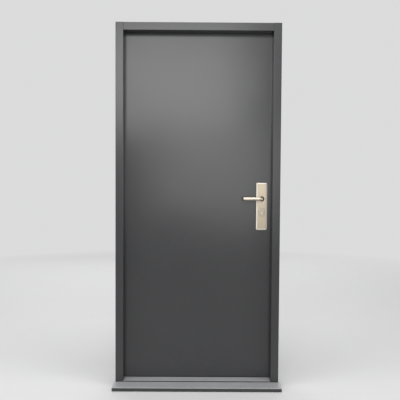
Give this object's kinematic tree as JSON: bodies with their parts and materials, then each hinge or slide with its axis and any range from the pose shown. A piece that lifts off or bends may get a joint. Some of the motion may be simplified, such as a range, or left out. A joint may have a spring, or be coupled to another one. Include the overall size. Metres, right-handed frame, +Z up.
{
  "type": "hinged entrance door with frame",
  "caption": "Flush anthracite metal entrance door that opens inward, in a folded metal frame with threshold and weathering sill, long-plate lever handles and a mortise lock.",
  "frame": {"origin": "middle of the frame's outside face, on the underside of the threshold", "axes": "+Z up, +Y inward through the wall, +X towards the lock side (right, seen from outside)"},
  "size_m": [0.982, 0.2524, 2.136],
  "materials": {
    "painted_steel": "satin anthracite powder coat",
    "painted_aluminium": "satin anthracite powder coat",
    "satin_nickel": "satin nickel plated, slightly warm",
    "stainless_steel": "satin",
    "zinc_steel": "zinc plated",
    "nickel_brass": "satin nickel plated",
    "rubber": "matt black",
    "black_plastic": "matt",
    "foam_core": "rigid foam"
  },
  "bodies": {
    "frame": {"left_jamb": "painted_steel", "right_jamb": "painted_steel", "head": "painted_steel", "threshold": "painted_aluminium", "sill": "painted_aluminium", "sill_end_cap_right": "painted_aluminium", "sill_end_cap_left": "painted_aluminium", "frame_gasket": "rubber", "threshold_gasket": "rubber", "anchor_straps": "zinc_steel", "access_caps": "black_plastic", "corner_brackets": "zinc_steel", "frame_screws": "zinc_steel", "strike_plate": "stainless_steel", "strike_box": "black_plastic", "strike_screws": "zinc_steel", "hinge_backing_plates": "zinc_steel", "hinge_frame_screws": "zinc_steel", "hinge_pins": "zinc_steel", "hinge_washers": "zinc_steel", "hinge_caps": "stainless_steel", "hinge_bottom_frame_part": "stainless_steel", "hinge_middle_frame_part": "stainless_steel", "hinge_top_frame_part": "stainless_steel"},
    "leaf": {"outside_skin": "painted_steel", "inside_skin": "painted_steel", "leaf_core": "foam_core", "hinge_stile": "zinc_steel", "lock_stile": "zinc_steel", "top_rail": "zinc_steel", "bottom_rail": "zinc_steel", "bottom_seal": "rubber", "hinge_reinforcement": "zinc_steel", "hinge_leaf_screws": "zinc_steel", "forend": "stainless_steel", "forend_screws": "zinc_steel", "lock_case": "zinc_steel", "lock_case_cover": "zinc_steel", "lock_case_screws": "zinc_steel", "follower_spring": "zinc_steel", "cylinder_body": "nickel_brass", "cylinder_screw": "zinc_steel", "outside_plate": "satin_nickel", "inside_plate": "satin_nickel", "plate_screws": "zinc_steel", "lever_bearings": "black_plastic", "hinge_bottom_leaf_part": "stainless_steel", "hinge_middle_leaf_part": "stainless_steel", "hinge_top_leaf_part": "stainless_steel"},
    "handle": {"outside_lever": "satin_nickel", "inside_lever": "satin_nickel", "spindle": "zinc_steel", "follower": "zinc_steel", "grub_screws": "zinc_steel"},
    "latch": {"latch_bolt": "satin_nickel"},
    "dead_bolt": {"dead_bolt": "satin_nickel"},
    "outside_key": {"outside_plug": "nickel_brass", "cylinder_cam": "zinc_steel"},
    "inside_key": {"inside_plug": "nickel_brass"}
  },
  "joints": [
    {"name": "leaf_swing", "type": "hinge", "parent": "frame", "child": "leaf", "pos_m": [-0.453, 0.126, 1.062], "axis": [0, 0, 1], "range_deg": [0, 110]},
    {"name": "handle_turn", "type": "hinge", "parent": "leaf", "child": "handle", "pos_m": [0.381, 0.087, 1.114], "axis": [0, -1, 0], "range_deg": [0, 40], "stiffness_Nm_per_rad": 2, "springref_deg": -22.92, "deforming": ["follower_spring"]},
    {"name": "latch_slide", "type": "slide", "parent": "leaf", "child": "latch", "axis": [-1, 0, 0], "range_m": [0, 0.012]},
    {"name": "outside_key_turn", "type": "hinge", "parent": "leaf", "child": "outside_key", "pos_m": [0.381, 0.087, 1.042], "axis": [0, 1, 0], "range_deg": [0, 360]},
    {"name": "dead_bolt_slide", "type": "slide", "parent": "leaf", "child": "dead_bolt", "axis": [1, 0, 0], "range_m": [0, 0.02]},
    {"name": "inside_key_turn", "type": "hinge", "parent": "leaf", "child": "inside_key", "pos_m": [0.381, 0.087, 1.042], "axis": [0, 1, 0], "range_deg": [0, 360]}
  ],
  "couplings": [
    {"joint": "latch_slide", "follows": "handle_turn", "m_per_rad": 0.017188},
    {"joint": "outside_key_turn", "follows": "dead_bolt_slide", "rad_per_m": 314.16}
  ]
}
